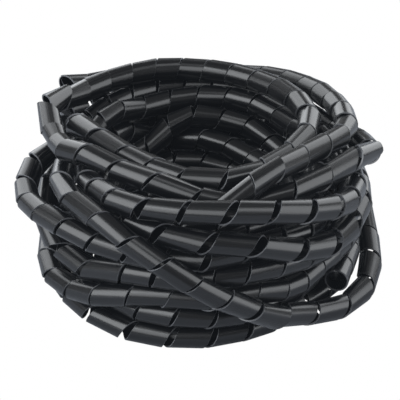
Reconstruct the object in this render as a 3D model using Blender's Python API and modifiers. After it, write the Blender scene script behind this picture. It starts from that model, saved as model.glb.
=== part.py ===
"""A loose hank of black spiral cable wrap, in metres, +Z up.

The wrap is one piece: a thin plastic tube, slit from end to end along a left-handed helix, so
that it winds round a bundle of cables. Here it is new stock, coiled by hand into a hank that
lies on the floor with its bore upwards. The tube is hollow and open at both cut ends, and the
slit is cut at its real size where it starts, at the two free ends.
"""

import math

import bmesh
import bpy
import numpy as np

# The tube
TUBE_DIAMETER = 0.015
WALL = 0.0011

# The slit, measured along the tube's axis
SLIT_PITCH = 0.021
SLIT_WIDTH = 0.002
SLIT_TURNS = 6

# The hank: the radius that the route's stations are counted from, and the air between turns
MEAN_RADIUS = 0.090
CLEARANCE = 0.00045

# How finely the route and the tube are divided
ROUTE_STEPS_PER_DIAMETER = 2
RINGS_PER_TURN = 15
RINGS_PER_SLIT_TURN = 2
TUBE_SIDES = 8
CUTTER_SIDES = 16
BEVEL_RESOLUTION = (TUBE_SIDES - 4) // 2

# How the turns settle against each other
SETTLE_ROUNDS = 400
CLOSING_ROUNDS = 60
PULL_TO_ROUTE = 0.02
STIFFNESS = 0.25
CLOSING_STIFFNESS = 0.05

PLASTIC_COLOR = (0.012, 0.012, 0.014, 1.0)
PLASTIC_ROUGHNESS = 0.33

# The route of the wrap, from the free end at the lower right to the one at the top left. Each
# station is an azimuth in degrees, the distance out from the mean radius and the height above
# the lowest turn, both in tube widths. The azimuth always grows, so a smaller one starts a turn.
ROUTE = [
    # free end on top of the floor turn, then once round the back
    (330.5, 0.58, 1.1), (338, 0.38, 1.1), (346, 0.38, 1.1), (354, 0.44, 1.2), (5, 0.44, 1.3),
    (20, 0.4, 1.45),
    (45, 0.6, 1.2), (90, 0.95, 0.5), (150, 0.55, 0.1), (180, 0, 0.05),
    # lowest strand of the front
    (205, -0.25, 0), (225, -0.15, 0), (250, -0.05, 0), (270, -0.1, 0), (285, -0.25, 0), (300, -0.33, 0),
    (315, -0.75, 0), (335, -0.55, 0), (0, 0.2, 0), (45, 0.05, 0), (90, -0.05, 0), (150, -0.8, 0.3),
    (180, -0.8, 0.95), (205, -0.75, 0.95),
    # second strand of the front
    (225, -0.45, 0.85), (240, 0, 0.95), (250, 0.15, 1.1), (260, 0.2, 1.28), (270, 0.15, 1.05),
    (285, -0.15, 0.95),
    (300, -0.6, 0.95), (330, -0.95, 0.95), (0, -1.35, 1), (45, -0.6, 1.05), (90, -0.15, 1.05),
    (150, 0.4, 1.5),
    (172, 0.35, 1.35),
    # third strand of the front
    (185, 0.45, 1.15), (197, 0.65, 1.05), (210, 0.55, 0.95), (225, 0.4, 1.3), (240, 0.45, 1.82),
    (254, 0.45, 2.3), (270, 0.5, 2.2), (283, 0.35, 1.85), (294, 0.15, 1.6), (303, 0.15, 1.6),
    (312, 0.2, 1.78), (321, 0.15, 2.1), (330, 0.15, 2.3), (340, 0.3, 2.35), (0, 0.5, 2.5),
    (45, 0.55, 2.5), (90, 0.95, 3.1), (135, 0.8, 3.55),
    (150, 0.7, 3.65), (160, 0.6, 3.8),
    # fourth strand of the front
    (172, 0.45, 3.85), (183, 0.35, 3.5), (198, 0.35, 2.65), (207, 0.25, 2.35), (219, 0.25, 2.2),
    (233, 0.35, 2.4), (248, 0.55, 2.85), (258, 0.65, 3), (270, 0.75, 3.2), (282, 0.75, 3.35),
    (292, 0.65, 3.4), (306, 0.5, 3.3), (318, 0.4, 3.3), (332, 0.25, 3.3), (0, 0.5, 3.45),
    (45, 0.1, 2.9), (90, 0.3, 2.75), (135, 0.2, 2.2), (180, -0.9, 0.5),
    # inner turns, hidden by the others
    (225, -0.95, 0.05), (270, -1.05, 0.05), (300, -1.75, 0.05), (330, -1.6, 0.05), (0, -0.85, 0.05),
    (90, -1.05, 0.05), (135, -1.6, 0.15), (180, -1.85, 0.55), (225, -1.85, 0.85), (270, -1.75, 0.85),
    (315, -2.15, 0.95), (0, -2, 0.85), (90, -2, 0.9), (135, -2.2, 1.15), (180, -2.4, 1.65),
    (225, -1.6, 1.65), (270, -0.8, 1.3), (315, -1.35, 1.25), (0, -1.75, 1.75), (90, -1.85, 1.9),
    (135, -2.2, 1.95), (180, -2.55, 2.4), (225, -2.15, 2.35), (270, -1.55, 2.35), (315, -1.85, 2.3),
    (0, -2.15, 2.45), (45, -1.95, 2.25), (90, -1.75, 2.85), (135, -1.85, 2.85), (180, -2.3, 3.4),
    (225, -2, 3.35), (270, -1.35, 3.5), (315, -1.75, 3.5), (0, -2, 3.5),
    # innermost strand seen at the back of the bore
    (30, -2.15, 3.2), (54, -2.05, 3.05), (66, -1.95, 3.25), (82, -1.6, 3.65), (95, -1.4, 3.75),
    (107, -0.9, 3.85), (117, -0.7, 3.95), (135, -0.85, 4.2), (150, -1.1, 4.5), (180, -1.35, 5.2),
    # top strand of the front wall
    (205, -0.8, 5.75), (222, -0.15, 5.95), (237, 0.55, 6.1), (250, 0.95, 6.2), (262, 1, 6.35),
    (277, 1.35, 6.5), (289, 1.35, 6.35), (301, 1.4, 6.05), (313, 1.45, 5.65), (323, 1.25, 5.35),
    (335, 1, 5.1), (348, 0.65, 5.05), (0, 0.25, 5.1), (20, -0.55, 5.15),
    # upper strand at the back of the bore
    (35, -0.8, 5.15), (46, -0.55, 5.25), (60, -0.35, 5.3), (74, -0.2, 5.3), (90, -0.15, 5.3),
    (110, -0.35, 5.25), (126, -0.65, 5.15), (141, -0.85, 5.1), (156, -1, 5.05), (170, -0.75, 5.1),
    # strand that falls across the front to the floor, then climbs the right side
    (185, -0.4, 5.2), (197, 0, 5.35), (210, 0.4, 5.5), (226, 0.8, 5.65), (240, 1.25, 5.6),
    (250, 1.6, 5.05), (261, 1.75, 4.25), (270, 1.75, 3.4), (276, 1.45, 2.85), (288, 0.9, 1.85),
    (301, 0.55, 1), (316, 0.48, 0.25), (331, 0.9, 0), (346, 1.3, 0.15), (355, 1.34, 0.45), (5, 1.32, 0.75),
    (12, 1.3, 1.15), (20, 1.3, 1.9), (27, 1.3, 2.45), (45, 1.5, 3.35), (90, 1.95, 4.4),
    (135, 1.65, 4.75), (148, 1.35, 5), (157, 0.5, 5.3), (164, -0.3, 5.85),
    # strand that cuts across the bore
    (170, -0.8, 6.3), (178, -1.2, 6.45), (191, -1.75, 6.5), (217, -2.25, 6.5), (245, -2.05, 6.5),
    (264, -1.6, 6.5), (278, -1.35, 6.5), (291, -1.35, 6.5), (307, -1.75, 6.5), (326, -1.8, 6.5),
    (342, -1.75, 6.5),
    # loop round the top of the back
    (5, -1.4, 6.5), (30, -0.95, 6.5), (47, -0.65, 6.5), (60, -0.45, 6.5), (74, 0.05, 6.4),
    (90, 0.4, 6.4), (106, 0.6, 6.4), (117, 0.65, 6.35), (127, 0.7, 6.35), (138, 0.75, 6.3),
    (148, 0.72, 6.2), (159, 0.5, 6.15), (166, 0.35, 6.2), (172, 0.25, 6.25),
    # second strand over the top of the front
    (185, 0, 6.35), (207, -0.55, 6.3), (226, -0.95, 6.5), (240, -0.95, 6.6), (257, -0.55, 6.6),
    (268, -0.4, 6.35), (278, -0.55, 5.95), (289, -0.55, 5.85), (303, 0, 6.15), (318, 0.15, 6.2),
    (336, 0.35, 6.05), (349, 0.85, 5.7), (358, 1.15, 5.6), (10, 0.8, 5.5), (17, 0.65, 5.35),
    (29, 0.35, 5.25), (38, 0.35, 5.25), (54, 0.6, 5.35), (90, 0.8, 5.45), (124, 0.55, 5.3),
    (135, 0.35, 5.1), (145, 0.15, 4.8), (155, 0.2, 4.6),
    # outermost strand of the left side, then under the others along the front
    (166, 0.7, 4.6), (175, 1, 4.7), (183, 1.25, 4.55), (190, 1.45, 4.45), (202, 1.45, 4.4),
    (214, 1.4, 4.6), (226, 1.25, 4.5), (237, 1.15, 4.35), (250, 0.95, 4.2), (267, 0.95, 3.95),
    (276, 0.85, 4.1), (285, 0.6, 4.3), (300, 0.35, 4.3), (330, -0.25, 3.8), (0, -0.65, 3.5),
    # middle strand at the back of the bore
    (30, -0.65, 3.7), (45, -0.75, 3.9), (60, -0.65, 4.4), (71, -0.65, 4.65), (80, -0.8, 4.85),
    (90, -0.95, 4.8), (103, -1.15, 4.5), (117, -1.5, 4), (128, -1.7, 3.6), (150, -1.5, 3.05),
    (180, -1.35, 2.65),
    # turn behind the front wall
    (225, -0.95, 2.95), (250, -0.4, 3.5), (270, -0.25, 4.15), (285, -0.45, 4.6), (300, -0.5, 4.7),
    (315, -0.5, 4.65), (330, -0.7, 4.5), (0, -0.95, 4.3), (30, -0.25, 4.45), (60, 0.15, 4.3),
    (90, 0.2, 4.25), (120, 0.2, 4.25), (135, 0, 4.1), (150, -0.4, 4), (165, -0.7, 4.05),
    (180, -1.05, 4.2),
    # middle strand of the front wall
    (210, -0.65, 4.65), (235, 0.15, 5), (250, 0.8, 5.4), (265, 1.2, 5.3), (277, 1.25, 5.05),
    (286, 1.25, 4.8), (297, 1.3, 4.45), (312, 1.35, 3.95), (323, 1.25, 3.85), (331, 1.15, 3.95),
    (342, 0.8, 4.1), (0, 0.55, 4.25), (45, 0.95, 3.9), (90, 1.95, 3.45), (135, 1.65, 3.65),
    (160, 1.05, 2.95), (180, 0.15, 2.5), (200, -0.6, 2.95),
    # last turn, over the top of the front and out at the back as the second free end
    (225, -0.15, 3.65), (250, -0.15, 4.55), (265, 0.2, 5.35), (273, 0.35, 5.75), (278, 0.35, 6.15),
    (284, 0.2, 6.55), (298, -0.25, 6.85), (314, -0.75, 6.85), (334, -0.8, 6.7), (352, -0.25, 6.55),
    (4, 0.15, 6.4), (17, 0.45, 6.2), (38, 0.75, 5.95), (59, 1.35, 5.75), (70, 1.6, 5.6), (90, 1.8, 5.4),
    (110, 1.9, 5.4), (124, 1.95, 5.55), (130, 2.1, 5.75), (137, 2.3, 5.98),
]


def route_stations():
    """The stations as an array of growing angle, radius and height of the tube's axis."""
    turns = 0
    last_azimuth = ROUTE[0][0]
    stations = []
    for azimuth, out, up in ROUTE:
        if azimuth < last_azimuth:
            turns += 1
        last_azimuth = azimuth
        angle = math.radians(azimuth) + math.tau * turns
        radius = MEAN_RADIUS + out * TUBE_DIAMETER
        height = TUBE_DIAMETER / 2 + up * TUBE_DIAMETER
        stations.append((angle, radius, height))
    return np.array(stations)


def hermite(angles, values, wanted):
    """Values at the wanted angles on a smooth curve through the given ones."""
    width = np.diff(angles)
    slope = np.diff(values) / width
    lean = np.empty(len(values))
    lean[0] = slope[0]
    lean[-1] = slope[-1]
    lean[1:-1] = (slope[:-1] * width[1:] + slope[1:] * width[:-1]) / (width[:-1] + width[1:])
    k = np.clip(np.searchsorted(angles, wanted, side="right") - 1, 0, len(angles) - 2)
    t = (wanted - angles[k]) / width[k]
    start = (2 * t**3 - 3 * t**2 + 1) * values[k] + (t**3 - 2 * t**2 + t) * width[k] * lean[k]
    end = (3 * t**2 - 2 * t**3) * values[k + 1] + (t**3 - t**2) * width[k] * lean[k + 1]
    return start + end


def arc_lengths(points):
    """The distance along the route at each point."""
    steps = np.linalg.norm(np.diff(points, axis=0), axis=1)
    return np.concatenate([[0.0], np.cumsum(steps)])


def at_lengths(points, lengths):
    """The points of the route at these distances along it."""
    along = arc_lengths(points)
    return np.stack([np.interp(lengths, along, points[:, k]) for k in range(3)], axis=1)


def chosen_route():
    """The route through the stations, at even steps, before the turns settle."""
    stations = route_stations()
    step = TUBE_DIAMETER / ROUTE_STEPS_PER_DIAMETER
    count = int(math.ceil(np.ptp(stations[:, 0]) * stations[:, 1].max() / step))
    angles = np.linspace(stations[0, 0], stations[-1, 0], count)
    radius = hermite(stations[:, 0], stations[:, 1], angles)
    height = hermite(stations[:, 0], stations[:, 2], angles)
    points = np.stack([radius * np.cos(angles), radius * np.sin(angles), height], axis=1)
    length = arc_lengths(points)[-1]
    return at_lengths(points, np.linspace(0.0, length, int(round(length / step)) + 1))


def near_pairs(points, reach, apart):
    """Numbers of the segments that start within reach of each other, well apart along the route."""
    firsts = []
    seconds = []
    for i in range(len(points) - 1 - apart):
        offsets = points[i + apart : -1] - points[i]
        near = np.flatnonzero((offsets**2).sum(axis=1) < reach**2)
        firsts.append(np.full(len(near), i))
        seconds.append(near + i + apart)
    return np.concatenate(firsts), np.concatenate(seconds)


def nearest_points(points, i, j):
    """For segments i and j: the share along each of its nearest point, and the offset between."""
    a = points[i + 1] - points[i]
    b = points[j + 1] - points[j]
    w = points[i] - points[j]
    aa = (a * a).sum(axis=1)
    bb = (b * b).sum(axis=1)
    ab = (a * b).sum(axis=1)
    aw = (a * w).sum(axis=1)
    bw = (b * w).sum(axis=1)
    s = np.clip((ab * bw - bb * aw) / np.maximum(aa * bb - ab * ab, 1e-9 * aa * bb), 0, 1)
    t = np.clip((ab * s + bw) / bb, 0, 1)
    s = np.clip((ab * t - aw) / aa, 0, 1)
    return s, t, w + a * s[:, None] - b * t[:, None]


def push_apart(points, pairs, gap):
    """Moves segments that are nearer than the gap away from each other."""
    i, j = pairs
    s, t, offset = nearest_points(points, i, j)
    distance = np.maximum(np.linalg.norm(offset, axis=1), 1e-9)
    hit = distance < gap
    i, j, s, t = i[hit], j[hit], s[hit], t[hit]
    push = offset[hit] * ((gap - distance[hit]) / distance[hit] / 2)[:, None]
    move = np.zeros_like(points)
    weight = np.zeros(len(points))
    for ends, share, sign in ((i, 1 - s, 1), (i + 1, s, 1), (j, 1 - t, -1), (j + 1, t, -1)):
        np.add.at(move, ends, sign * push * share[:, None])
        np.add.at(weight, ends, share)
    points += move / np.maximum(weight, 1)[:, None]


def straighten(points, stiffness):
    """Evens out the bending along the route, as a stiff tube does."""
    bend = np.zeros_like(points)
    bend[1:-1] = (points[:-2] + points[2:]) / 2 - points[1:-1]
    change = bend.copy()
    change[1:-1] -= (bend[:-2] + bend[2:]) / 2
    change[0] = 0
    change[-1] = 0
    points += stiffness * change


def settle(points, rounds, pull, stiffness, closing_rounds):
    """Lets the turns push each other apart and lie on the floor, near the chosen route."""
    chosen = points
    points = points.copy()
    gap = TUBE_DIAMETER + CLEARANCE
    longest = np.linalg.norm(np.diff(points, axis=0), axis=1).max()
    apart = max(2, int(math.ceil(2.5 * gap / longest)))
    for k in range(rounds):
        if k % 20 == 0:
            pairs = near_pairs(points, gap + 2.2 * longest, apart)
        push_apart(points, pairs, gap)
        closing = k >= rounds - closing_rounds
        straighten(points, min(stiffness, CLOSING_STIFFNESS) if closing else stiffness)
        if not closing:
            points += pull * (chosen - points)
        points[:, 2] = np.maximum(points[:, 2], TUBE_DIAMETER / 2)
    return points


def ring_points(route):
    """Where the tube's rings lie: at even azimuths, and closer where the slit is cut."""
    along = arc_lengths(route)
    slit_zone = (SLIT_TURNS + 1) * SLIT_PITCH
    steps = (SLIT_TURNS + 1) * RINGS_PER_SLIT_TURN
    near_start = np.linspace(0.0, slit_zone, steps + 1)
    angles = np.unwrap(np.arctan2(route[:, 1], route[:, 0]))
    between = math.tau / RINGS_PER_TURN
    even = np.arange(math.ceil(angles[0] / between), math.floor(angles[-1] / between) + 1) * between
    middle = np.interp(even, angles, along)
    least = slit_zone + TUBE_DIAMETER
    middle = middle[(middle > least) & (middle < along[-1] - least)]
    lengths = np.concatenate([near_start, middle, along[-1] - near_start[::-1]])
    return at_lengths(route, lengths)


def keep_clear(points):
    """Moves the rings just enough that the straight runs between them keep the clearance."""
    gap = TUBE_DIAMETER + CLEARANCE
    longest = np.linalg.norm(np.diff(points, axis=0), axis=1).max()
    along = arc_lengths(points)
    pairs = near_pairs(points, gap + 2.2 * longest, 2)
    far_apart = along[pairs[1]] - along[pairs[0]] > 2.5 * longest
    pairs = pairs[0][far_apart], pairs[1][far_apart]
    for _ in range(SETTLE_ROUNDS):
        push_apart(points, pairs, gap)
        points[:, 2] = np.maximum(points[:, 2], TUBE_DIAMETER / 2)
    return points


def tube_frames(rings, lengths):
    """Centre, side, up and forward directions of the tube at these distances along it."""
    forward = np.gradient(rings, arc_lengths(rings), axis=0)
    along = arc_lengths(rings)
    ahead = np.stack([np.interp(lengths, along, forward[:, k]) for k in range(3)], axis=1)
    ahead /= np.linalg.norm(ahead, axis=1)[:, None]
    beyond = lengths - np.clip(lengths, 0.0, along[-1])
    centre = at_lengths(rings, lengths) + ahead * beyond[:, None]
    side = np.cross([0.0, 0.0, 1.0], ahead)
    side /= np.linalg.norm(side, axis=1)[:, None]
    return centre, side, np.cross(ahead, side), ahead


def slit_cutter(name, rings, from_end, collection):
    """A helical ribbon as wide as the slit, from just outside one free end to the last turn."""
    outside = TUBE_DIAMETER / 2 + 0.75 * CLEARANCE
    inside = 0.7 * (TUBE_DIAMETER / 2 - WALL)
    turned = np.arange(-CUTTER_SIDES // 4, SLIT_TURNS * CUTTER_SIDES + 1) / CUTTER_SIDES
    lengths = turned * SLIT_PITCH
    if from_end:
        lengths = arc_lengths(rings)[-1] - lengths
    angle = -math.tau * lengths / SLIT_PITCH
    centre, side, up, ahead = tube_frames(rings, lengths)
    outward = side * np.cos(angle)[:, None] + up * np.sin(angle)[:, None]
    half_width = ahead * SLIT_WIDTH / 2
    corners = (
        centre + outward * inside - half_width,
        centre + outward * outside - half_width,
        centre + outward * outside + half_width,
        centre + outward * inside + half_width,
    )
    mesh = bpy.data.meshes.new(name)
    form = bmesh.new()
    sections = [[form.verts.new(corner[k]) for corner in corners] for k in range(len(lengths))]
    form.faces.new(sections[0])
    form.faces.new(sections[-1])
    for first, second in zip(sections, sections[1:]):
        for k in range(4):
            form.faces.new((first[k], first[k - 1], second[k - 1], second[k]))
    bmesh.ops.recalc_face_normals(form, faces=form.faces)
    form.to_mesh(mesh)
    form.free()
    cutter = bpy.data.objects.new(name, mesh)
    cutter.hide_render = True
    cutter.display_type = "WIRE"
    collection.objects.link(cutter)
    return cutter


def tube_wall(rings, collection):
    """The outer wall of the tube along its rings, as an open mesh with a flat side down."""
    curve = bpy.data.curves.new("route", "CURVE")
    curve.dimensions = "3D"
    curve.twist_mode = "Z_UP"
    curve.bevel_depth = TUBE_DIAMETER / 2
    curve.bevel_resolution = BEVEL_RESOLUTION
    spline = curve.splines.new("POLY")
    spline.points.add(len(rings) - 1)
    for point, place in zip(spline.points, rings):
        point.co = (*place, 1.0)
        point.tilt = math.pi / TUBE_SIDES
    guide = bpy.data.objects.new("route", curve)
    collection.objects.link(guide)
    graph = bpy.context.evaluated_depsgraph_get()
    mesh = bpy.data.meshes.new_from_object(guide.evaluated_get(graph))
    bpy.data.objects.remove(guide)
    mesh.name = "spiral_wrap"
    wrap = bpy.data.objects.new("spiral_wrap", mesh)
    collection.objects.link(wrap)
    return wrap


def plastic():
    """Smooth black polyethylene with a satin gloss."""
    material = bpy.data.materials.new("black_polyethylene")
    material.use_nodes = True
    shader = material.node_tree.nodes["Principled BSDF"]
    shader.inputs["Base Color"].default_value = PLASTIC_COLOR
    shader.inputs["Roughness"].default_value = PLASTIC_ROUGHNESS
    shader.inputs["Metallic"].default_value = 0.0
    return material


def build_wrap(collection, cutters):
    """The wrap: a hollow tube along the settled route, slit at its two free ends."""
    route = settle(chosen_route(), SETTLE_ROUNDS, PULL_TO_ROUTE, STIFFNESS, CLOSING_ROUNDS)
    rings = keep_clear(ring_points(route))
    wrap = tube_wall(rings, collection)
    corners = np.array([vertex.co for vertex in wrap.data.vertices])
    lowest = corners.min(axis=0)
    middle = (lowest + corners.max(axis=0)) / 2
    place = (-middle[0], -middle[1], -lowest[2])
    wrap.location = place
    wall = wrap.modifiers.new("wall", "SOLIDIFY")
    wall.thickness = WALL
    wall.offset = -1.0
    wall.use_even_offset = True
    for name, from_end in (("first_end_slit", False), ("second_end_slit", True)):
        cutter = slit_cutter(name, rings, from_end, cutters)
        cutter.location = place
        cut = wrap.modifiers.new(name, "BOOLEAN")
        cut.operation = "DIFFERENCE"
        cut.object = cutter
    wrap.data.materials.clear()
    wrap.data.materials.append(plastic())
    return wrap


def main():
    for leftover in list(bpy.data.objects):
        bpy.data.objects.remove(leftover)
    collection = bpy.data.collections.new("spiral_cable_wrap")
    cutters = bpy.data.collections.new("cutters")
    bpy.context.scene.collection.children.link(collection)
    bpy.context.scene.collection.children.link(cutters)
    build_wrap(collection, cutters)


main()
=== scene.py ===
"""A loose hank of black spiral cable wrap, dressed for the view of the photograph.

The wrap is a polyethylene tube that is slit from end to end along a left-handed helix. This
script repeats the route of its axis from the part's source, lets the turns settle against each
other as they do there, and winds the real band along that route at its full pitch, with its
wall, its open slit and its two cut ends. Everything is in metres, with +Z up.
"""

import logging
import math
from dataclasses import dataclass, field
from enum import Enum
from typing import NamedTuple

import bpy
import numpy as np
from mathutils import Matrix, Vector


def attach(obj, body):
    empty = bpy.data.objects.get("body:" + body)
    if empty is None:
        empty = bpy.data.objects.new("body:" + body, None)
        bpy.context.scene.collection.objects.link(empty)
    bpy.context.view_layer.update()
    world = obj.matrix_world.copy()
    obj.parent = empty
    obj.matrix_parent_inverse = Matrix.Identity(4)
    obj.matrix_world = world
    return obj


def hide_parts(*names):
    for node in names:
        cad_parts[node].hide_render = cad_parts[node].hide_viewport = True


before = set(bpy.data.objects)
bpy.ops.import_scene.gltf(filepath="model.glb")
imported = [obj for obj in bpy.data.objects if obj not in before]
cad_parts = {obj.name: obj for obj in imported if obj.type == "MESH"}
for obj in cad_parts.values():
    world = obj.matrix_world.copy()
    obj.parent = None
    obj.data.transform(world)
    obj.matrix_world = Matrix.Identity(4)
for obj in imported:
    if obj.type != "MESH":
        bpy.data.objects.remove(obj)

LOG = logging.getLogger("spiral_wrap")
TINY = 1e-12

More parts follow.
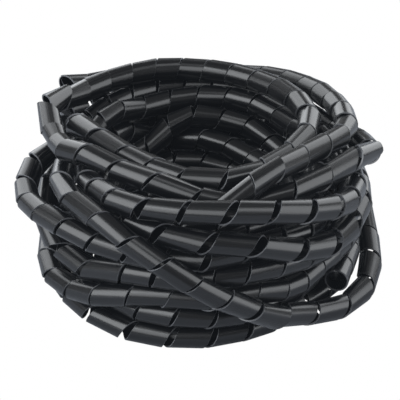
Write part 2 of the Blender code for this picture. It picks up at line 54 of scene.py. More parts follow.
# The route of the wrap, as in the part's source, from the free end at the lower right to the one
# at the top left. Each station is an azimuth in degrees, the distance out from the mean radius
# and the height above the lowest turn, both in tube widths. A smaller azimuth starts a new turn.
ROUTE: tuple[tuple[float, float, float], ...] = (
    # free end on top of the floor turn, then once round the back
    (330.5, 0.58, 1.1), (338, 0.38, 1.1), (346, 0.38, 1.1), (354, 0.44, 1.2), (5, 0.44, 1.3),
    (20, 0.4, 1.45), (45, 0.6, 1.2), (90, 0.95, 0.5), (150, 0.55, 0.1), (180, 0, 0.05),
    # lowest strand of the front
    (205, -0.25, 0), (225, -0.15, 0), (250, -0.05, 0), (270, -0.1, 0), (285, -0.25, 0), (300, -0.33, 0),
    (315, -0.75, 0), (335, -0.55, 0), (0, 0.2, 0), (45, 0.05, 0), (90, -0.05, 0), (150, -0.8, 0.3),
    (180, -0.8, 0.95), (205, -0.75, 0.95),
    # second strand of the front
    (225, -0.45, 0.85), (240, 0, 0.95), (250, 0.15, 1.1), (260, 0.2, 1.28), (270, 0.15, 1.05),
    (285, -0.15, 0.95), (300, -0.6, 0.95), (330, -0.95, 0.95), (0, -1.35, 1), (45, -0.6, 1.05),
    (90, -0.15, 1.05), (150, 0.4, 1.5), (172, 0.35, 1.35),
    # third strand of the front
    (185, 0.45, 1.15), (197, 0.65, 1.05), (210, 0.55, 0.95), (225, 0.4, 1.3), (240, 0.45, 1.82),
    (254, 0.45, 2.3), (270, 0.5, 2.2), (283, 0.35, 1.85), (294, 0.15, 1.6), (303, 0.15, 1.6),
    (312, 0.2, 1.78), (321, 0.15, 2.1), (330, 0.15, 2.3), (340, 0.3, 2.35), (0, 0.5, 2.5), (45, 0.55, 2.5),
    (90, 0.95, 3.1), (135, 0.8, 3.55), (150, 0.7, 3.65), (160, 0.6, 3.8),
    # fourth strand of the front
    (172, 0.45, 3.85), (183, 0.35, 3.5), (198, 0.35, 2.65), (207, 0.25, 2.35), (219, 0.25, 2.2),
    (233, 0.35, 2.4), (248, 0.55, 2.85), (258, 0.65, 3), (270, 0.75, 3.2), (282, 0.75, 3.35),
    (292, 0.65, 3.4), (306, 0.5, 3.3), (318, 0.4, 3.3), (332, 0.25, 3.3), (0, 0.5, 3.45), (45, 0.1, 2.9),
    (90, 0.3, 2.75), (135, 0.2, 2.2), (180, -0.9, 0.5),
    # inner turns, hidden by the others
    (225, -0.95, 0.05), (270, -1.05, 0.05), (300, -1.75, 0.05), (330, -1.6, 0.05), (0, -0.85, 0.05),
    (90, -1.05, 0.05), (135, -1.6, 0.15), (180, -1.85, 0.55), (225, -1.85, 0.85), (270, -1.75, 0.85),
    (315, -2.15, 0.95), (0, -2, 0.85), (90, -2, 0.9), (135, -2.2, 1.15), (180, -2.4, 1.65),
    (225, -1.6, 1.65), (270, -0.8, 1.3), (315, -1.35, 1.25), (0, -1.75, 1.75), (90, -1.85, 1.9),
    (135, -2.2, 1.95), (180, -2.55, 2.4), (225, -2.15, 2.35), (270, -1.55, 2.35), (315, -1.85, 2.3),
    (0, -2.15, 2.45), (45, -1.95, 2.25), (90, -1.75, 2.85), (135, -1.85, 2.85), (180, -2.3, 3.4),
    (225, -2, 3.35), (270, -1.35, 3.5), (315, -1.75, 3.5), (0, -2, 3.5),
    # innermost strand seen at the back of the bore
    (30, -2.15, 3.2), (54, -2.05, 3.05), (66, -1.95, 3.25), (82, -1.6, 3.65), (95, -1.4, 3.75),
    (107, -0.9, 3.85), (117, -0.7, 3.95), (135, -0.85, 4.2), (150, -1.1, 4.5), (180, -1.35, 5.2),
    # top strand of the front wall
    (205, -0.8, 5.75), (222, -0.15, 5.95), (237, 0.55, 6.1), (250, 0.95, 6.2), (262, 1, 6.35),
    (277, 1.35, 6.5), (289, 1.35, 6.35), (301, 1.4, 6.05), (313, 1.45, 5.65), (323, 1.25, 5.35),
    (335, 1, 5.1), (348, 0.65, 5.05), (0, 0.25, 5.1), (20, -0.55, 5.15),
    # upper strand at the back of the bore
    (35, -0.8, 5.15), (46, -0.55, 5.25), (60, -0.35, 5.3), (74, -0.2, 5.3), (90, -0.15, 5.3),
    (110, -0.35, 5.25), (126, -0.65, 5.15), (141, -0.85, 5.1), (156, -1, 5.05), (170, -0.75, 5.1),
    # strand that falls across the front to the floor, then climbs the right side
    (185, -0.4, 5.2), (197, 0, 5.35), (210, 0.4, 5.5), (226, 0.8, 5.65), (240, 1.25, 5.6),
    (250, 1.6, 5.05), (261, 1.75, 4.25), (270, 1.75, 3.4), (276, 1.45, 2.85), (288, 0.9, 1.85),
    (301, 0.55, 1), (316, 0.48, 0.25), (331, 0.9, 0), (346, 1.3, 0.15), (355, 1.34, 0.45), (5, 1.32, 0.75),
    (12, 1.3, 1.15), (20, 1.3, 1.9), (27, 1.3, 2.45), (45, 1.5, 3.35), (90, 1.95, 4.4), (135, 1.65, 4.75),
    (148, 1.35, 5), (157, 0.5, 5.3), (164, -0.3, 5.85),
    # strand that cuts across the bore
    (170, -0.8, 6.3), (178, -1.2, 6.45), (191, -1.75, 6.5), (217, -2.25, 6.5), (245, -2.05, 6.5),
    (264, -1.6, 6.5), (278, -1.35, 6.5), (291, -1.35, 6.5), (307, -1.75, 6.5), (326, -1.8, 6.5),
    (342, -1.75, 6.5),
    # loop round the top of the back
    (5, -1.4, 6.5), (30, -0.95, 6.5), (47, -0.65, 6.5), (60, -0.45, 6.5), (74, 0.05, 6.4), (90, 0.4, 6.4),
    (106, 0.6, 6.4), (117, 0.65, 6.35), (127, 0.7, 6.35), (138, 0.75, 6.3), (148, 0.72, 6.2),
    (159, 0.5, 6.15), (166, 0.35, 6.2), (172, 0.25, 6.25),
    # second strand over the top of the front
    (185, 0, 6.35), (207, -0.55, 6.3), (226, -0.95, 6.5), (240, -0.95, 6.6), (257, -0.55, 6.6),
    (268, -0.4, 6.35), (278, -0.55, 5.95), (289, -0.55, 5.85), (303, 0, 6.15), (318, 0.15, 6.2),
    (336, 0.35, 6.05), (349, 0.85, 5.7), (358, 1.15, 5.6), (10, 0.8, 5.5), (17, 0.65, 5.35),
    (29, 0.35, 5.25), (38, 0.35, 5.25), (54, 0.6, 5.35), (90, 0.8, 5.45), (124, 0.55, 5.3),
    (135, 0.35, 5.1), (145, 0.15, 4.8), (155, 0.2, 4.6),
    # outermost strand of the left side, then under the others along the front
    (166, 0.7, 4.6), (175, 1, 4.7), (183, 1.25, 4.55), (190, 1.45, 4.45), (202, 1.45, 4.4),
    (214, 1.4, 4.6), (226, 1.25, 4.5), (237, 1.15, 4.35), (250, 0.95, 4.2), (267, 0.95, 3.95),
    (276, 0.85, 4.1), (285, 0.6, 4.3), (300, 0.35, 4.3), (330, -0.25, 3.8), (0, -0.65, 3.5),
    # middle strand at the back of the bore
    (30, -0.65, 3.7), (45, -0.75, 3.9), (60, -0.65, 4.4), (71, -0.65, 4.65), (80, -0.8, 4.85),
    (90, -0.95, 4.8), (103, -1.15, 4.5), (117, -1.5, 4), (128, -1.7, 3.6), (150, -1.5, 3.05),
    (180, -1.35, 2.65),
    # turn behind the front wall
    (225, -0.95, 2.95), (250, -0.4, 3.5), (270, -0.25, 4.15), (285, -0.45, 4.6), (300, -0.5, 4.7),
    (315, -0.5, 4.65), (330, -0.7, 4.5), (0, -0.95, 4.3), (30, -0.25, 4.45), (60, 0.15, 4.3),
    (90, 0.2, 4.25), (120, 0.2, 4.25), (135, 0, 4.1), (150, -0.4, 4), (165, -0.7, 4.05), (180, -1.05, 4.2),
    # middle strand of the front wall
    (210, -0.65, 4.65), (235, 0.15, 5), (250, 0.8, 5.4), (265, 1.2, 5.3), (277, 1.25, 5.05),
    (286, 1.25, 4.8), (297, 1.3, 4.45), (312, 1.35, 3.95), (323, 1.25, 3.85), (331, 1.15, 3.95),
    (342, 0.8, 4.1), (0, 0.55, 4.25), (45, 0.95, 3.9), (90, 1.95, 3.45), (135, 1.65, 3.65),
    (160, 1.05, 2.95), (180, 0.15, 2.5), (200, -0.6, 2.95),
    # last turn, over the top of the front and out at the back as the second free end
    (225, -0.15, 3.65), (250, -0.15, 4.55), (265, 0.2, 5.35), (273, 0.35, 5.75), (278, 0.35, 6.15),
    (284, 0.2, 6.55), (298, -0.25, 6.85), (314, -0.75, 6.85), (334, -0.8, 6.7), (352, -0.25, 6.55),
    (4, 0.15, 6.4), (17, 0.45, 6.2), (38, 0.75, 5.95), (59, 1.35, 5.75), (70, 1.6, 5.6), (90, 1.8, 5.4),
    (110, 1.9, 5.4), (124, 1.95, 5.55), (130, 2.1, 5.75), (137, 2.3, 5.98),
)


@dataclass(frozen=True)
class SlitRun:
    """A stretch of the hank on which the slit is seen to cross the tube at even steps.

    The azimuths, in degrees, are those of the first and the last crossing on the side that faces
    the camera, on one turn of the hank. The gap is how wide the slit stands open there.
    """

    turn: int
    first: float
    last: float
    steps: int
    gap: float


SLIT_RUNS: tuple[SlitRun, ...] = (
    # the four lowest strands of the front
    SlitRun(turn=1, first=224, last=243, steps=1, gap=0.0050),
    SlitRun(turn=1, first=243, last=306, steps=4, gap=0.0034),
    SlitRun(turn=2, first=248, last=275, steps=2, gap=0.0024),
    SlitRun(turn=3, first=217, last=260, steps=3, gap=0.0018),
    SlitRun(turn=3, first=303, last=313, steps=1, gap=0.0010),
    SlitRun(turn=4, first=224, last=243, steps=1, gap=0.0046),
    SlitRun(turn=4, first=243, last=255, steps=1, gap=0.0036),
    SlitRun(turn=4, first=275, last=312, steps=3, gap=0.0018),
    # innermost strand seen at the back of the bore
    SlitRun(turn=10, first=55, last=103, steps=3, gap=0.0002),
    # top strand of the front wall
    SlitRun(turn=10, first=226, last=317, steps=7, gap=0.0050),
    # upper strand at the back of the bore
    SlitRun(turn=11, first=50, last=133, steps=6, gap=0.0006),
    # strand that falls across the front, then climbs the right side
    SlitRun(turn=11, first=191, last=237, steps=3, gap=0.0020),
    SlitRun(turn=11, first=237, last=287, steps=5, gap=0.0024),
    SlitRun(turn=11, first=287, last=331, steps=3, gap=0.0016),
    SlitRun(turn=11, first=331, last=380, steps=4, gap=0.0012),
    # strand that cuts across the bore
    SlitRun(turn=12, first=169, last=215, steps=2, gap=0.0034),
    SlitRun(turn=12, first=215, last=303, steps=4, gap=0.0014),
    SlitRun(turn=12, first=303, last=355, steps=2, gap=0.0010),
    # loop round the top of the back
    SlitRun(turn=13, first=19, last=77, steps=4, gap=0.0004),
    SlitRun(turn=13, first=77, last=151, steps=7, gap=-0.0020),
    SlitRun(turn=13, first=151, last=177, steps=2, gap=-0.0040),
    # second strand over the top of the front
    SlitRun(turn=13, first=196, last=267, steps=4, gap=0.0026),
    SlitRun(turn=13, first=308, last=342, steps=2, gap=0.0012),
    # outermost strand of the left side
    SlitRun(turn=14, first=178, last=234, steps=5, gap=0.0024),
    SlitRun(turn=14, first=272, last=286, steps=1, gap=0.0042),
    # middle strand at the back of the bore
    SlitRun(turn=15, first=52, last=109, steps=4, gap=0.0008),
    # middle strand of the front wall
    SlitRun(turn=16, first=258, last=317, steps=4, gap=0.0062),
    # last turn, over the top of the front and round the back
    SlitRun(turn=17, first=289, last=304, steps=1, gap=0.0010),
    SlitRun(turn=17, first=304, last=356, steps=3, gap=0.0010),
    SlitRun(turn=17, first=369, last=420, steps=5, gap=0.0002),
)


class FreeEnd(Enum):
    """How far a free end's cut leans, as the slope of the cut across the tube."""

    SQUARE = 0.0
    SLANTING = 0.4


@dataclass(frozen=True)
class WrapTube:
    """The tube that the band makes, with its usual pitch and gap where neither is seen."""

    diameter: float = 0.015
    wall: float = 0.0011
    pitch: float = 0.0208
    gap: float = 0.0016

    @property
    def radius(self) -> float:
        """The outer radius of the tube."""
        return self.diameter / 2


def hermite(places: np.ndarray, values: np.ndarray, wanted: np.ndarray) -> np.ndarray:
    """Reads values off a smooth curve through the given ones.

    Args:
        places: Where the values are known, in growing order.
        values: The known values.
        wanted: Where values are wanted.

    Returns:
        The values at the wanted places.
    """
    width = np.diff(places)
    slope = np.diff(values) / width
    lean = np.empty(len(values))
    lean[0] = slope[0]
    lean[-1] = slope[-1]
    lean[1:-1] = (slope[:-1] * width[1:] + slope[1:] * width[:-1]) / (width[:-1] + width[1:])
    k = np.clip(np.searchsorted(places, wanted, side="right") - 1, 0, len(places) - 2)
    t = (wanted - places[k]) / width[k]
    start = (2 * t**3 - 3 * t**2 + 1) * values[k] + (t**3 - 2 * t**2 + t) * width[k] * lean[k]
    end = (3 * t**2 - 2 * t**3) * values[k + 1] + (t**3 - t**2) * width[k] * lean[k + 1]
    return start + end


def arc_lengths(points: np.ndarray) -> np.ndarray:
    """Measures a line.

    Args:
        points: The line's points, one a row.

    Returns:
        The distance along the line at each point.
    """
    steps = np.linalg.norm(np.diff(points, axis=0), axis=1)
    return np.concatenate([[0.0], np.cumsum(steps)])


def at_lengths(along: np.ndarray, rows: np.ndarray, lengths: np.ndarray) -> np.ndarray:
    """Interpolates the rows that are known at these distances along a line.

    Args:
        along: The distances at which the rows are known.
        rows: One vector for each distance.
        lengths: The distances that are wanted.

    Returns:
        One vector for each wanted distance.
    """
    return np.stack([np.interp(lengths, along, rows[:, k]) for k in range(rows.shape[1])], axis=1)


def unit(rows: np.ndarray) -> np.ndarray:
    """Scales each row to length one."""
    return rows / np.maximum(np.linalg.norm(rows, axis=1), TINY)[:, None]


@dataclass
class HankRoute:
    """The line that the axis of the wrap follows, settled so that its turns lie on each other."""

    tube: WrapTube
    mean_radius: float = 0.090
    clearance: float = 0.00045
    steps_per_diameter: int = 2
    rounds: int = 400
    closing_rounds: int = 60
    pull_to_route: float = 0.02
    stiffness: float = 0.25
    closing_stiffness: float = 0.05
    rounds_per_search: int = 20
    segments_apart: float = 2.5
    search_margin: float = 2.2
    least_share: float = 1e-9
    least_distance: float = 1e-9
    centre: tuple[float, float, float] = (-0.001119, 0.000057, 0.0)

    def stations(self) -> np.ndarray:
        """Reads the stations.

        Returns:
            A growing angle, the radius and the height of the tube's axis, one station a row.
        """
        turns = 0
        last_azimuth = ROUTE[0][0]
        rows = []
        for azimuth, out, up in ROUTE:
            if azimuth < last_azimuth:
                turns += 1
            last_azimuth = azimuth
            angle = math.radians(azimuth) + math.tau * turns
            radius = self.mean_radius + out * self.tube.diameter
            height = self.tube.radius + up * self.tube.diameter
            rows.append((angle, radius, height))
        return np.array(rows)

    def chosen(self) -> np.ndarray:
        """Draws the route through the stations, at even steps, before the turns settle.

        Returns:
            The points of the axis, one a row.
        """
        stations = self.stations()
        step = self.tube.diameter / self.steps_per_diameter
        count = int(math.ceil(np.ptp(stations[:, 0]) * stations[:, 1].max() / step))
        angles = np.linspace(stations[0, 0], stations[-1, 0], count)
        radius = hermite(stations[:, 0], stations[:, 1], angles)
        height = hermite(stations[:, 0], stations[:, 2], angles)
        points = np.stack([radius * np.cos(angles), radius * np.sin(angles), height], axis=1)
        along = arc_lengths(points)
        lengths = np.linspace(0.0, along[-1], int(round(along[-1] / step)) + 1)
        return at_lengths(along, points, lengths)

    def near_pairs(self, points: np.ndarray, reach: float, apart: int) -> tuple[np.ndarray, np.ndarray]:
        """Finds the segments of other turns that come near each other.

        Args:
            points: The points of the axis.
            reach: How near two segments start to count, in metres.
            apart: How many segments along the route two of them are apart at least.

        Returns:
            The numbers of the first and of the second segment of each pair.
        """
        firsts = []
        seconds = []
        for i in range(len(points) - 1 - apart):
            offsets = points[i + apart : -1] - points[i]
            near = np.flatnonzero((offsets**2).sum(axis=1) < reach**2)
            firsts.append(np.full(len(near), i))
            seconds.append(near + i + apart)
        return np.concatenate(firsts), np.concatenate(seconds)

    def push_apart(self, points: np.ndarray, pairs: tuple[np.ndarray, np.ndarray], gap: float) -> None:
        """Moves segments that are nearer than the gap away from each other.

        Args:
            points: The points of the axis, which are moved.
            pairs: The numbers of the segments that may touch.
            gap: The least distance between two axes, in metres.
        """
        i, j = pairs
        a = points[i + 1] - points[i]
        b = points[j + 1] - points[j]
        w = points[i] - points[j]
        aa, bb, ab = (a * a).sum(axis=1), (b * b).sum(axis=1), (a * b).sum(axis=1)
        aw, bw = (a * w).sum(axis=1), (b * w).sum(axis=1)
        across = np.maximum(aa * bb - ab * ab, self.least_share * aa * bb)
        s = np.clip((ab * bw - bb * aw) / across, 0, 1)
        t = np.clip((ab * s + bw) / bb, 0, 1)
        s = np.clip((ab * t - aw) / aa, 0, 1)
        offset = w + a * s[:, None] - b * t[:, None]
        distance = np.maximum(np.linalg.norm(offset, axis=1), self.least_distance)
        hit = distance < gap
        i, j, s, t = i[hit], j[hit], s[hit], t[hit]
        push = offset[hit] * ((gap - distance[hit]) / distance[hit] / 2)[:, None]
        move = np.zeros_like(points)
        weight = np.zeros(len(points))
        for ends, share, sign in ((i, 1 - s, 1), (i + 1, s, 1), (j, 1 - t, -1), (j + 1, t, -1)):
            np.add.at(move, ends, sign * push * share[:, None])
            np.add.at(weight, ends, share)
        points += move / np.maximum(weight, 1)[:, None]

    def straighten(self, points: np.ndarray, stiffness: float) -> None:
        """Evens out the bending along the route, as a stiff tube does.

        Args:
            points: The points of the axis, which are moved.
            stiffness: How much of the unevenness goes in one round.
        """
        bend = np.zeros_like(points)
        bend[1:-1] = (points[:-2] + points[2:]) / 2 - points[1:-1]
        change = bend.copy()
        change[1:-1] -= (bend[:-2] + bend[2:]) / 2
        change[0] = 0
        change[-1] = 0
        points += stiffness * change

    def settled(self) -> np.ndarray:
        """Lets the turns push each other apart and lie on the floor, near the chosen route.

        Returns:
            The points of the axis in the part's frame, one a row.
        """
        chosen = self.chosen()
        points = chosen.copy()
        gap = self.tube.diameter + self.clearance
        longest = np.linalg.norm(np.diff(points, axis=0), axis=1).max()
        apart = max(2, int(math.ceil(self.segments_apart * gap / longest)))
        reach = gap + self.search_margin * longest
        for k in range(self.rounds):
            if k % self.rounds_per_search == 0:
                pairs = self.near_pairs(points, reach, apart)
            self.push_apart(points, pairs, gap)
            closing = k >= self.rounds - self.closing_rounds
            self.straighten(points, self.closing_stiffness if closing else self.stiffness)
            if not closing:
                points += self.pull_to_route * (chosen - points)
            points[:, 2] = np.maximum(points[:, 2], self.tube.radius)
        return points + np.array(self.centre)


@dataclass(frozen=True)
class SatinPolyethylene:
    """Black polyethylene as it leaves the extruder: satin, with faint streaks along the tube, and a faint
    even glow painted into it that lifts its darkest parts.
    """

    name: str = "black_polyethylene"
    colour: tuple[float, float, float] = (0.0020, 0.0021, 0.0024)
    worn_colour: tuple[float, float, float] = (0.0035, 0.0037, 0.0042)
    # painted glow: a faint even light the surface gives off itself, standing in for light in the deepest
    # gaps between the turns
    painted_glow: tuple[float, float, float] = (0.0050, 0.0058, 0.0070)
    smoothest: float = 0.21
    roughest: float = 0.29
    streaks_per_metre: float = 900.0
    streak_length: float = 0.09
    grain_per_metre: float = 4200.0
    streak_depth: float = 0.000005
    grain_depth: float = 0.0000006
    streak_detail: float = 3.0
    streak_fall_off: float = 0.6
    grain_detail: float = 2.0
    plain_noise: tuple[float, float] = (0.3, 0.7)
    worn_noise: tuple[float, float] = (0.42, 0.75)
    ior: float = 1.51

    def make(self, place_attribute: str) -> bpy.types.Material:
        """Builds the material's nodes.

        Args:
            place_attribute: The mesh attribute that holds each point's place on the straight tube.

        Returns:
            The material.
        """
        material = bpy.data.materials.new(self.name)
        material.use_nodes = True
        nodes = material.node_tree.nodes
        link = material.node_tree.links.new
        shader = nodes["Principled BSDF"]
        shader.inputs["IOR"].default_value = self.ior
        shader.inputs["Metallic"].default_value = 0.0
        # the emission paints a faint glow on every part of the tube, lifting its black everywhere, the
        # deepest gaps included
        shader.inputs["Emission Color"].default_value = (*self.painted_glow, 1.0)
        shader.inputs["Emission Strength"].default_value = 1.0

        place = nodes.new("ShaderNodeAttribute")
        place.attribute_name = place_attribute
        along = nodes.new("ShaderNodeMapping")
        along.inputs["Scale"].default_value = (1.0, 1.0, 1.0 / (self.streaks_per_metre * self.streak_length))
        link(place.outputs["Vector"], along.inputs["Vector"])

        streaks = nodes.new("ShaderNodeTexNoise")
        streaks.inputs["Scale"].default_value = self.streaks_per_metre
        streaks.inputs["Detail"].default_value = self.streak_detail
        streaks.inputs["Roughness"].default_value = self.streak_fall_off
        link(along.outputs["Vector"], streaks.inputs["Vector"])

        grain = nodes.new("ShaderNodeTexNoise")
        grain.inputs["Scale"].default_value = self.grain_per_metre
        grain.inputs["Detail"].default_value = self.grain_detail
        link(place.outputs["Vector"], grain.inputs["Vector"])

        roughness = nodes.new("ShaderNodeMapRange")
        roughness.inputs["From Min"].default_value = self.plain_noise[0]
        roughness.inputs["From Max"].default_value = self.plain_noise[1]
        roughness.inputs["To Min"].default_value = self.smoothest
        roughness.inputs["To Max"].default_value = self.roughest
        link(streaks.outputs["Fac"], roughness.inputs["Value"])
        link(roughness.outputs["Result"], shader.inputs["Roughness"])

        colour = nodes.new("ShaderNodeValToRGB")
        colour.color_ramp.elements[0].position = self.worn_noise[0]
        colour.color_ramp.elements[0].color = (*self.colour, 1.0)
        colour.color_ramp.elements[1].position = self.worn_noise[1]
        colour.color_ramp.elements[1].color = (*self.worn_colour, 1.0)
        link(streaks.outputs["Fac"], colour.inputs["Fac"])
        link(colour.outputs["Color"], shader.inputs["Base Color"])

        streak_bump = nodes.new("ShaderNodeBump")
        streak_bump.inputs["Strength"].default_value = 1.0
        streak_bump.inputs["Distance"].default_value = self.streak_depth
        link(streaks.outputs["Fac"], streak_bump.inputs["Height"])
        grain_bump = nodes.new("ShaderNodeBump")
        grain_bump.inputs["Strength"].default_value = 1.0
        grain_bump.inputs["Distance"].default_value = self.grain_depth
        link(grain.outputs["Fac"], grain_bump.inputs["Height"])
        link(streak_bump.outputs["Normal"], grain_bump.inputs["Normal"])
        link(grain_bump.outputs["Normal"], shader.inputs["Normal"])
        return material


@dataclass(frozen=True)
class CutPolyethylene:
    """The narrow faces where the tube is slit and cut off: duller, and paler partly as cut plastic and
    partly as a painted highlight along the rims.
    """

    name: str = "cut_polyethylene_and_rim_highlight"
    # paler than the body: partly the cut plastic's own colour, partly a painted highlight on the rims and
    # cut ends
    colour: tuple[float, float, float] = (0.085, 0.088, 0.095)
    roughness: float = 0.38
    ior: float = 1.51

    def make(self) -> bpy.types.Material:
        """Builds the material's nodes.

        Returns:
            The material.
        """
        material = bpy.data.materials.new(self.name)
        material.use_nodes = True
        shader = material.node_tree.nodes["Principled BSDF"]
        shader.inputs["Base Color"].default_value = (*self.colour, 1.0)
        shader.inputs["Roughness"].default_value = self.roughness
        shader.inputs["IOR"].default_value = self.ior
        return material


class AxisPlaces(NamedTuple):
    """The axis of the tube at some lengths: its points, directions and bend, one a row."""

    centre: np.ndarray
    ahead: np.ndarray
    across: np.ndarray
    over: np.ndarray
    bend: np.ndarray


class TubeAxis:
    """The axis of the tube as a smooth line, with directions across it that never twist."""

    STEP = 0.001
    BEND_STEPS = 15

    def __init__(self, points: np.ndarray, hank_centre: tuple[float, float, float]) -> None:
        """Draws the line.

        Args:
            points: The points of the axis, one a row.
            hank_centre: The point that the azimuths are counted round.
        """
        coarse = arc_lengths(points)
        count = int(coarse[-1] / self.STEP)
        self.points = points
        self.along = np.linspace(0.0, coarse[-1], count)
        self.line = np.stack([hermite(coarse, points[:, k], self.along) for k in range(3)], axis=1)
        self.forward = unit(np.gradient(self.line, self.along, axis=0))
        self.side = np.empty_like(self.line)
        self.side[0] = unit(np.cross(self.forward[:1], [[0.0, 0.0, 1.0]]))[0]
        for k in range(1, count):
            carried = self.side[k - 1] - self.forward[k] * (self.side[k - 1] @ self.forward[k])
            self.side[k] = carried / math.sqrt(carried @ carried)
        bend = np.gradient(self.forward, self.along, axis=0)
        window = np.ones(self.BEND_STEPS) / self.BEND_STEPS
        self.bend = np.stack([np.convolve(bend[:, k], window, mode="same") for k in range(3)], axis=1)
        from_centre = self.line - np.array(hank_centre)
        angles = np.unwrap(np.arctan2(from_centre[:, 1], from_centre[:, 0]))
        self.angles = np.maximum.accumulate(angles + math.tau * (angles[0] < 0))

    @property
    def length(self) -> float:
        """The length of the axis."""
        return float(self.along[-1])

    def length_at(self, turn: int, azimuth: float) -> float:
        """Finds the length along the axis at an azimuth, in degrees, of one turn of the hank."""
        return float(np.interp(math.tau * turn + math.radians(azimuth), self.angles, self.along))

    def at(self, lengths: np.ndarray) -> AxisPlaces:
        """Finds the axis and its directions.

        Args:
            lengths: Distances along the axis, which may lie a little beyond its ends.

        Returns:
            The places on the axis.
        """
        inside = np.clip(lengths, 0.0, self.length)
        ahead = unit(at_lengths(self.along, self.forward, inside))
        centre = at_lengths(self.along, self.line, inside) + ahead * (lengths - inside)[:, None]
        across = at_lengths(self.along, self.side, inside)
        across = unit(across - ahead * (across * ahead).sum(axis=1)[:, None])
        bend = at_lengths(self.along, self.bend, inside)
        return AxisPlaces(centre, ahead, across, np.cross(ahead, across), bend)


@dataclass
class SpiralWrap:
    """The wrap itself: one band of plastic that winds left-handed along the settled route.

    Each turn of the band stays straight and stiff, so a bend opens the slit on its outside and
    closes it on its inside. Where the wrap is squeezed short, each turn slips under the one
    before it.
    """

    tube: WrapTube
    axis: TubeAxis
    finish: SatinPolyethylene
    cut_finish: CutPolyethylene
    eye: Vector
    first_end: FreeEnd = FreeEnd.SQUARE
    last_end: FreeEnd = FreeEnd.SLANTING
    steps_per_turn: int = 26
    first_angle: float = math.radians(100)
    first_gap: float = 0.0001
    tip_width: float = 0.0003
    overlap: float = 0.0003
    lean_share: float = 0.25
    slip: float = 0.0002
    slip_range: float = 0.0006
    edge_chamfer: float = 0.00012
    samples_per_turn: int = 40
    chamfered_above: float = math.radians(55)
    smooth_below: float = math.radians(32)
    place_attribute: str = "place_on_tube"
    size_waves: tuple[tuple[float, float, float], ...] = ((0.00012, 0.77, 0.4), (0.00010, 0.36, 2.1))
    tilt_waves: tuple[tuple[float, float, float], ...] = ((0.00022, 0.63, 1.3), (0.00016, 1.27, 5.1))

    def slit_course(self) -> tuple[np.ndarray, np.ndarray, np.ndarray]:
        """Counts the turns of the slit along the tube, so that each run shows its crossings.

        Returns:
            Lengths along the axis, the turns that the slit has made and its gap there.
        """
        lengths = [0.0]
        turns = [0.0]
        gaps = [self.first_gap]
        for run in SLIT_RUNS:
            for azimuth, steps in ((run.first, None), (run.last, run.steps)):
                length = self.axis.length_at(run.turn, azimuth)
                if length < lengths[-1] + self.tube.wall:
                    continue
                expected = turns[-1] + (steps or (length - lengths[-1]) / self.tube.pitch)
                facing = self.facing_turn(length)
                turns.append(facing + round(expected - facing))
                lengths.append(length)
                gaps.append(run.gap)
        turns.append(turns[-1] + (self.axis.length - lengths[-1]) / self.tube.pitch)
        lengths.append(self.axis.length)
        gaps.append(gaps[-1])
        return np.array(lengths), np.array(turns), np.array(gaps)

    def facing_turn(self, length: float) -> float:
        """Finds when the slit faces the camera.

        Args:
            length: A distance along the axis.

        Returns:
            The turns of the slit that bring it to the camera's side there, less whole turns.
        """
        place = self.axis.at(np.array([length]))
        to_eye = np.array(self.eye) - place.centre[0]
        angle = math.atan2(to_eye @ place.over[0], to_eye @ place.across[0])
        return (self.first_angle - angle - math.pi) / math.tau

    def band_edges(self) -> tuple[np.ndarray, np.ndarray, np.ndarray]:
        """Works out the band's two edges on the outside of the tube, step by step.

        Returns:
            The near edge, the far edge, and for both the place on the straight tube.
        """
        marks, marked_turns, marked_gaps = self.slit_course()
        samples = self.samples_per_turn * int(self.axis.length / self.tube.pitch)
        dense = np.linspace(0.0, self.axis.length, samples)
        turned = hermite(marks, marked_turns, dense)
        beyond = self.tube.pitch
        dense = np.concatenate([[-beyond], dense, [self.axis.length + beyond]])
        turned = np.concatenate([[turned[0] - 1], turned, [turned[-1] + 1]])
        half = (self.tube.pitch - self.tube.gap) / 2
        ends = np.interp([self.tip_width - half, self.axis.length + half - self.tip_width], dense, turned)
        turns = np.linspace(*ends, int(np.ptp(ends) * self.steps_per_turn) + 1)
        middle = np.interp(turns, turned, dense)
        angle = self.first_angle - math.tau * turns
        pitch = np.gradient(middle, turns)
        place = self.axis.at(middle)
        to_eye = np.array(self.eye) - place.centre
        facing = np.arctan2((to_eye * place.over).sum(axis=1), (to_eye * place.across).sum(axis=1))
        middle = middle + self.lean_share * pitch / math.tau * np.sin(angle - facing)
        place = self.axis.at(middle)
        outward = place.across * np.cos(angle)[:, None] + place.over * np.sin(angle)[:, None]
        to_eye = unit(to_eye - place.ahead * (to_eye * place.ahead).sum(axis=1)[:, None])
        seen_pitch = pitch * (1 - self.tube.radius * (place.bend * to_eye).sum(axis=1))
        width = seen_pitch - np.interp(middle, marks, marked_gaps)
        spacing = pitch * (1 - self.tube.radius * (place.bend * outward).sum(axis=1))
        reach = np.minimum(width, spacing + self.overlap) / 2
        lean = self.tube.radius * (1 - np.cos(angle - angle[-1]))
        near = np.maximum(-reach, -middle + self.first_end.value * lean)
        far = np.minimum(reach, self.axis.length - middle - self.last_end.value * lean)
        near = np.minimum(near, far - self.tip_width)

        closed = np.clip((self.slip_range - spacing + width) / (2 * self.slip_range), 0.0, 1.0)
        slip = (self.tube.wall + self.slip) * closed * closed * (3 - 2 * closed)
        swell = self.waves(self.size_waves, turns)
        tilt = self.waves(self.tilt_waves, turns)
        near_edge = place.centre + outward * (self.tube.radius + swell + tilt)[:, None]
        far_edge = place.centre + outward * (self.tube.radius + swell - tilt - slip)[:, None]
        ring = np.stack([np.cos(angle), np.sin(angle)], axis=1) * self.tube.radius
        places = [np.column_stack([ring, middle + edge]) for edge in (near, far)]
        near_edge += place.ahead * near[:, None]
        far_edge += place.ahead * far[:, None]
        return near_edge, far_edge, np.stack(places)

    def waves(self, sizes: tuple[tuple[float, float, float], ...], turns: np.ndarray) -> np.ndarray:
        """Adds up waves.

        Args:
            sizes: The height of each wave, its number per turn and its phase.
            turns: The turns of the slit at which the sum is wanted.

        Returns:
            The sum at each of the turns.
        """
        return sum(size * np.sin(math.tau * rate * turns + phase) for size, rate, phase in sizes)

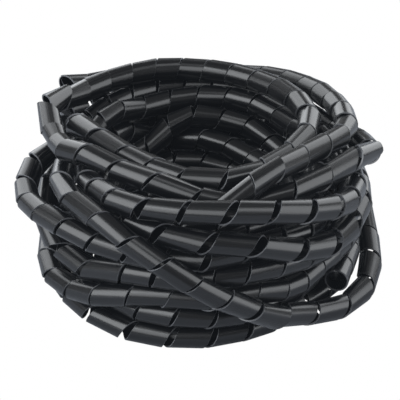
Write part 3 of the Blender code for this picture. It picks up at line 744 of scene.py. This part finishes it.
    def build(self) -> bpy.types.Object:
        """Winds a long strip of grid into the band, and gives it its wall and its edges.

        Returns:
            The finished band.
        """
        near, far, places = self.band_edges()
        steps = len(near) - 1
        bpy.ops.mesh.primitive_grid_add(x_subdivisions=steps, y_subdivisions=1, size=2.0)
        band = bpy.context.object
        band.name = "slit_tube"
        mesh = band.data
        mesh.name = "slit_tube"
        flat = np.empty(len(mesh.vertices) * 3, np.float32)
        mesh.vertices.foreach_get("co", flat)
        flat = flat.reshape(-1, 3)
        step = np.rint((flat[:, 0] + 1) / 2 * steps).astype(int)
        is_near = flat[:, 1] > 0
        corners = np.where(is_near[:, None], near[step], far[step])
        mesh.vertices.foreach_set("co", corners.astype(np.float32).ravel())
        place = mesh.attributes.new(self.place_attribute, "FLOAT_VECTOR", "POINT")
        on_tube = np.where(is_near[:, None], places[0][step], places[1][step])
        place.data.foreach_set("vector", on_tube.astype(np.float32).ravel())
        mesh.materials.append(self.finish.make(self.place_attribute))
        mesh.materials.append(self.cut_finish.make())
        mesh.update()

        wall = band.modifiers.new("wall", "SOLIDIFY")
        wall.thickness = self.tube.wall
        wall.offset = -1.0
        # the rim faces take the paler cut material, which is partly a painted highlight along the slit edges
        # and cut ends
        wall.material_offset_rim = 1
        edges = band.modifiers.new("edges", "BEVEL")
        edges.width = self.edge_chamfer
        edges.segments = 1
        edges.limit_method = "ANGLE"
        edges.angle_limit = self.chamfered_above
        bpy.ops.object.modifier_apply(modifier=wall.name)
        bpy.ops.object.modifier_apply(modifier=edges.name)
        bpy.ops.object.shade_smooth_by_angle(angle=self.smooth_below)
        return band

    def dress(self, band: bpy.types.Object) -> None:
        """Gives the band its place in the object.

        Args:
            band: The finished band.
        """
        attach(band, "root")
        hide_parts("spiral_wrap")


@dataclass(frozen=True)
class Floor:
    """The plain white floor: pure white to look at, and a dim grey in what lights the hank."""

    size: float = 12.0
    white: tuple[float, float, float] = (1.0, 1.0, 1.0)
    bounce: tuple[float, float, float] = (0.40, 0.42, 0.46)

    def build(self) -> bpy.types.Object:
        """Adds the floor.

        Returns:
            The floor.
        """
        bpy.ops.mesh.primitive_plane_add(size=self.size, location=(0.0, 0.0, 0.0))
        floor = bpy.context.object
        floor.name = "floor"
        material = bpy.data.materials.new("white_floor")
        material.use_nodes = True
        nodes = material.node_tree.nodes
        link = material.node_tree.links.new
        shader = nodes["Principled BSDF"]
        shader.inputs["Base Color"].default_value = (*self.bounce, 1.0)
        shader.inputs["Roughness"].default_value = 1.0
        shader.inputs["Specular IOR Level"].default_value = 0.0
        seen = nodes.new("ShaderNodeEmission")
        seen.inputs["Color"].default_value = (*self.white, 1.0)
        rays = nodes.new("ShaderNodeLightPath")
        either = nodes.new("ShaderNodeMixShader")
        link(rays.outputs["Is Camera Ray"], either.inputs["Fac"])
        link(shader.outputs["BSDF"], either.inputs[1])
        link(seen.outputs["Emission"], either.inputs[2])
        link(either.outputs["Shader"], nodes["Material Output"].inputs["Surface"])
        floor.data.materials.append(material)
        return floor


@dataclass(frozen=True)
class SoftBox:
    """One soft light, at a place round the hank and aimed at its middle."""

    name: str
    azimuth: float
    elevation: float
    distance: float
    size: float
    power: float
    colour: tuple[float, float, float] = (0.94, 0.97, 1.0)

    def build(self, aim: Vector) -> bpy.types.Object:
        """Adds the light.

        Args:
            aim: The point that the light faces.

        Returns:
            The light.
        """
        turn = math.radians(self.azimuth)
        rise = math.radians(self.elevation)
        away = Vector((math.sin(turn) * math.cos(rise), -math.cos(turn) * math.cos(rise), math.sin(rise)))
        light = bpy.data.lights.new(self.name, "AREA")
        light.shape = "SQUARE"
        light.size = self.size
        light.energy = self.power
        light.color = self.colour
        lamp = bpy.data.objects.new(self.name, light)
        lamp.location = aim + away * self.distance
        lamp.rotation_euler = (-away).to_track_quat("-Z", "Y").to_euler()
        bpy.context.scene.collection.objects.link(lamp)
        return lamp


@dataclass
class Studio:
    """The white room: soft lights at both sides, behind, in front and above, and a weak glow."""

    glow: float = 0.19
    lights: tuple[SoftBox, ...] = field(
        default_factory=lambda: (
            SoftBox("left_light", azimuth=-68, elevation=28, distance=1.6, size=1.4, power=30),
            SoftBox("back_left_light", azimuth=-150, elevation=20, distance=1.8, size=1.5, power=19),
            SoftBox("back_right_light", azimuth=145, elevation=22, distance=1.8, size=1.4, power=15),
            SoftBox("right_light", azimuth=76, elevation=24, distance=1.6, size=1.5, power=23),
            SoftBox("top_light", azimuth=10, elevation=66, distance=1.6, size=0.6, power=2.6),
            SoftBox("front_light", azimuth=-24, elevation=28, distance=1.6, size=1.0, power=10),
        )
    )

    def build(self, aim: Vector) -> None:
        """Lights the room.

        Args:
            aim: The point that the lights face.
        """
        world = bpy.data.worlds.new("white_room")
        world.use_nodes = True
        nodes = world.node_tree.nodes
        link = world.node_tree.links.new
        background = nodes["Background"]
        background.inputs["Color"].default_value = (1.0, 1.0, 1.0, 1.0)
        rays = nodes.new("ShaderNodeLightPath")
        strength = nodes.new("ShaderNodeMapRange")
        strength.inputs["To Min"].default_value = self.glow
        strength.inputs["To Max"].default_value = 1.0
        link(rays.outputs["Is Camera Ray"], strength.inputs["Value"])
        link(strength.outputs["Result"], background.inputs["Strength"])
        bpy.context.scene.world = world
        for soft_box in self.lights:
            soft_box.build(aim)
        bpy.context.scene.view_settings.view_transform = "Standard"


@dataclass(frozen=True)
class PhotoCamera:
    """The camera of the photograph: straight on, looking down on the hank from a little way off."""

    target: tuple[float, float, float] = (-0.001119, 0.000057, 0.052)
    elevation: float = 28.0
    distance: float = 1.5
    pixels_per_metre: float = 1553.0
    frame_pixels: float = 400.0
    target_below_middle: float = 5.0
    sensor: float = 36.0

    @property
    def eye(self) -> Vector:
        """The camera's own place."""
        rise = math.radians(self.elevation)
        return Vector(self.target) + Vector((0.0, -math.cos(rise), math.sin(rise))) * self.distance

    def build(self) -> bpy.types.Object:
        """Adds the camera and makes it the scene's own.

        Returns:
            The camera.
        """
        rise = math.radians(self.elevation)
        camera_up = Vector((0.0, math.sin(rise), math.cos(rise)))
        target = Vector(self.target)
        data = bpy.data.cameras.new("photo_camera")
        data.sensor_width = self.sensor
        data.lens = self.sensor * self.pixels_per_metre * self.distance / self.frame_pixels
        camera = bpy.data.objects.new("photo_camera", data)
        aim = target + camera_up * (self.target_below_middle / self.pixels_per_metre)
        camera.location = self.eye
        camera.rotation_euler = (aim - self.eye).to_track_quat("-Z", "Y").to_euler()
        bpy.context.scene.collection.objects.link(camera)
        bpy.context.scene.camera = camera
        return camera


def corners(bounds: tuple[Vector, Vector]) -> list[list[float]]:
    """Writes a box as plain lists of numbers."""
    return [[float(value) for value in corner] for corner in bounds]


def main() -> None:
    """Builds the wrap and its room, and notes the size of the result."""
    logging.basicConfig(level=logging.INFO)
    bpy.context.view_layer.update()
    bpy.ops.object.select_all(action="DESELECT")
    camera = PhotoCamera()
    camera.build()
    tube = WrapTube()
    route = HankRoute(tube)
    axis = TubeAxis(route.settled(), route.centre)
    wrap = SpiralWrap(tube, axis, SatinPolyethylene(), CutPolyethylene(), camera.eye)
    band = wrap.build()
    wrap.dress(band)
    LOG.info("%s: %.2f m of wrap, %d faces", band.name, axis.length, len(band.data.polygons))
    Floor().build()
    Studio().build(Vector(camera.target))


if __name__ == "__main__":
    main()
